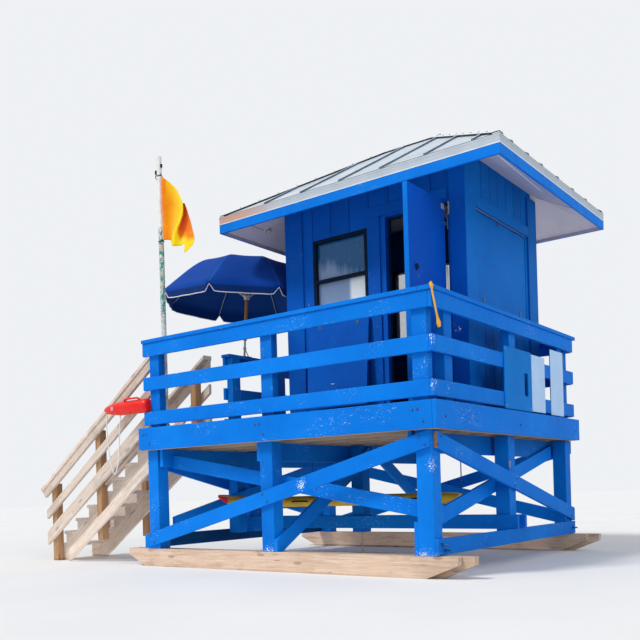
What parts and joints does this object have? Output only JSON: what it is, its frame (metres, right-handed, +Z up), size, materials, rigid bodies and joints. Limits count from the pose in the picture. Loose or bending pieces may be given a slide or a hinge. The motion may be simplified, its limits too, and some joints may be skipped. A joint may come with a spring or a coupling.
{
  "type": "lifeguard tower",
  "caption": "Raised timber lifeguard tower with a hip-roofed cabin, railed deck on braced legs and skids, side stair, umbrella, flag and rescue can.",
  "frame": {"origin": "middle of the deck in plan, on the ground, at the underside of the pad under the middle leg", "axes": "+X to the right along the front side, +Y to the rear, +Z up; the stair runs down towards -X"},
  "size_m": [5.941, 3.5139, 4.6087],
  "materials": {
    "blue_paint": "painted",
    "bare_timber": "weathered",
    "plywood": "weathered",
    "dark_frame": "satin",
    "window_glass": "clear",
    "hardware": "weathered",
    "soffit_ply": "painted",
    "roof_metal": "galvanised",
    "sign_board": "satin",
    "white_paint": "peeling",
    "flag_cloth": "woven",
    "pole_wood": "varnished",
    "canopy_cloth": "woven",
    "can_plastic": "satin",
    "rope": "braided",
    "board_foam": "satin"
  },
  "bodies": {
    "tower": {"skids": "bare_timber", "legs": "blue_paint", "girders": "blue_paint", "joists": "bare_timber", "deck": "bare_timber", "fascia": "blue_paint", "braces": "blue_paint", "ties": "blue_paint", "rail_posts": "blue_paint", "rails": "blue_paint", "rail_caps": "blue_paint", "front_wall": "blue_paint", "front_wall_strip": "blue_paint", "front_wall_over_door": "blue_paint", "rear_wall": "blue_paint", "left_wall": "blue_paint", "right_wall": "blue_paint", "corner_boards": "blue_paint", "cabin_trim": "blue_paint", "window_frames": "dark_frame", "side_frames": "dark_frame", "window_glass": "window_glass", "shutter_left": "blue_paint", "door_frame": "dark_frame", "fixed_hinges": "hardware", "soffit": "soffit_ply", "roof_sheet": "roof_metal", "eave_fascia": "blue_paint", "drip_band": "roof_metal", "roof_caps": "roof_metal", "stair_stringers": "bare_timber", "stair_treads": "bare_timber", "stair_posts": "bare_timber", "stair_rails": "bare_timber", "side_panel": "plywood", "signs": "sign_board", "flagpole": "white_paint", "flag": "flag_cloth", "umbrella_mount": "hardware", "umbrella_pole": "pole_wood", "umbrella_canopy": "canopy_cloth", "rescue_can": "can_plastic", "can_rope": "rope", "rescue_board": "board_foam", "board_slings": "hardware"},
    "door": {"door_leaf": "blue_paint", "door_knob": "hardware", "leaf_hinges": "hardware"},
    "front_shutter": {"shutter_front": "blue_paint", "shutter_front_hinges": "hardware"},
    "right_shutter": {"shutter_right": "blue_paint", "shutter_right_hinges": "hardware"}
  },
  "joints": [
    {"name": "door_hinge", "type": "hinge", "parent": "tower", "child": "door", "pos_m": [1.333, -0.477, 1.487], "axis": [0, 0, 1], "range_deg": [-90, 20]},
    {"name": "front_shutter_hinge", "type": "hinge", "parent": "tower", "child": "front_shutter", "pos_m": [0.034, -0.494, 2.558], "axis": [-1, 0, 0], "range_deg": [0, 174]},
    {"name": "right_shutter_hinge", "type": "hinge", "parent": "tower", "child": "right_shutter", "pos_m": [1.512, 0.347, 2.577], "axis": [0, 1, 0], "range_deg": [0, 112]}
  ]
}
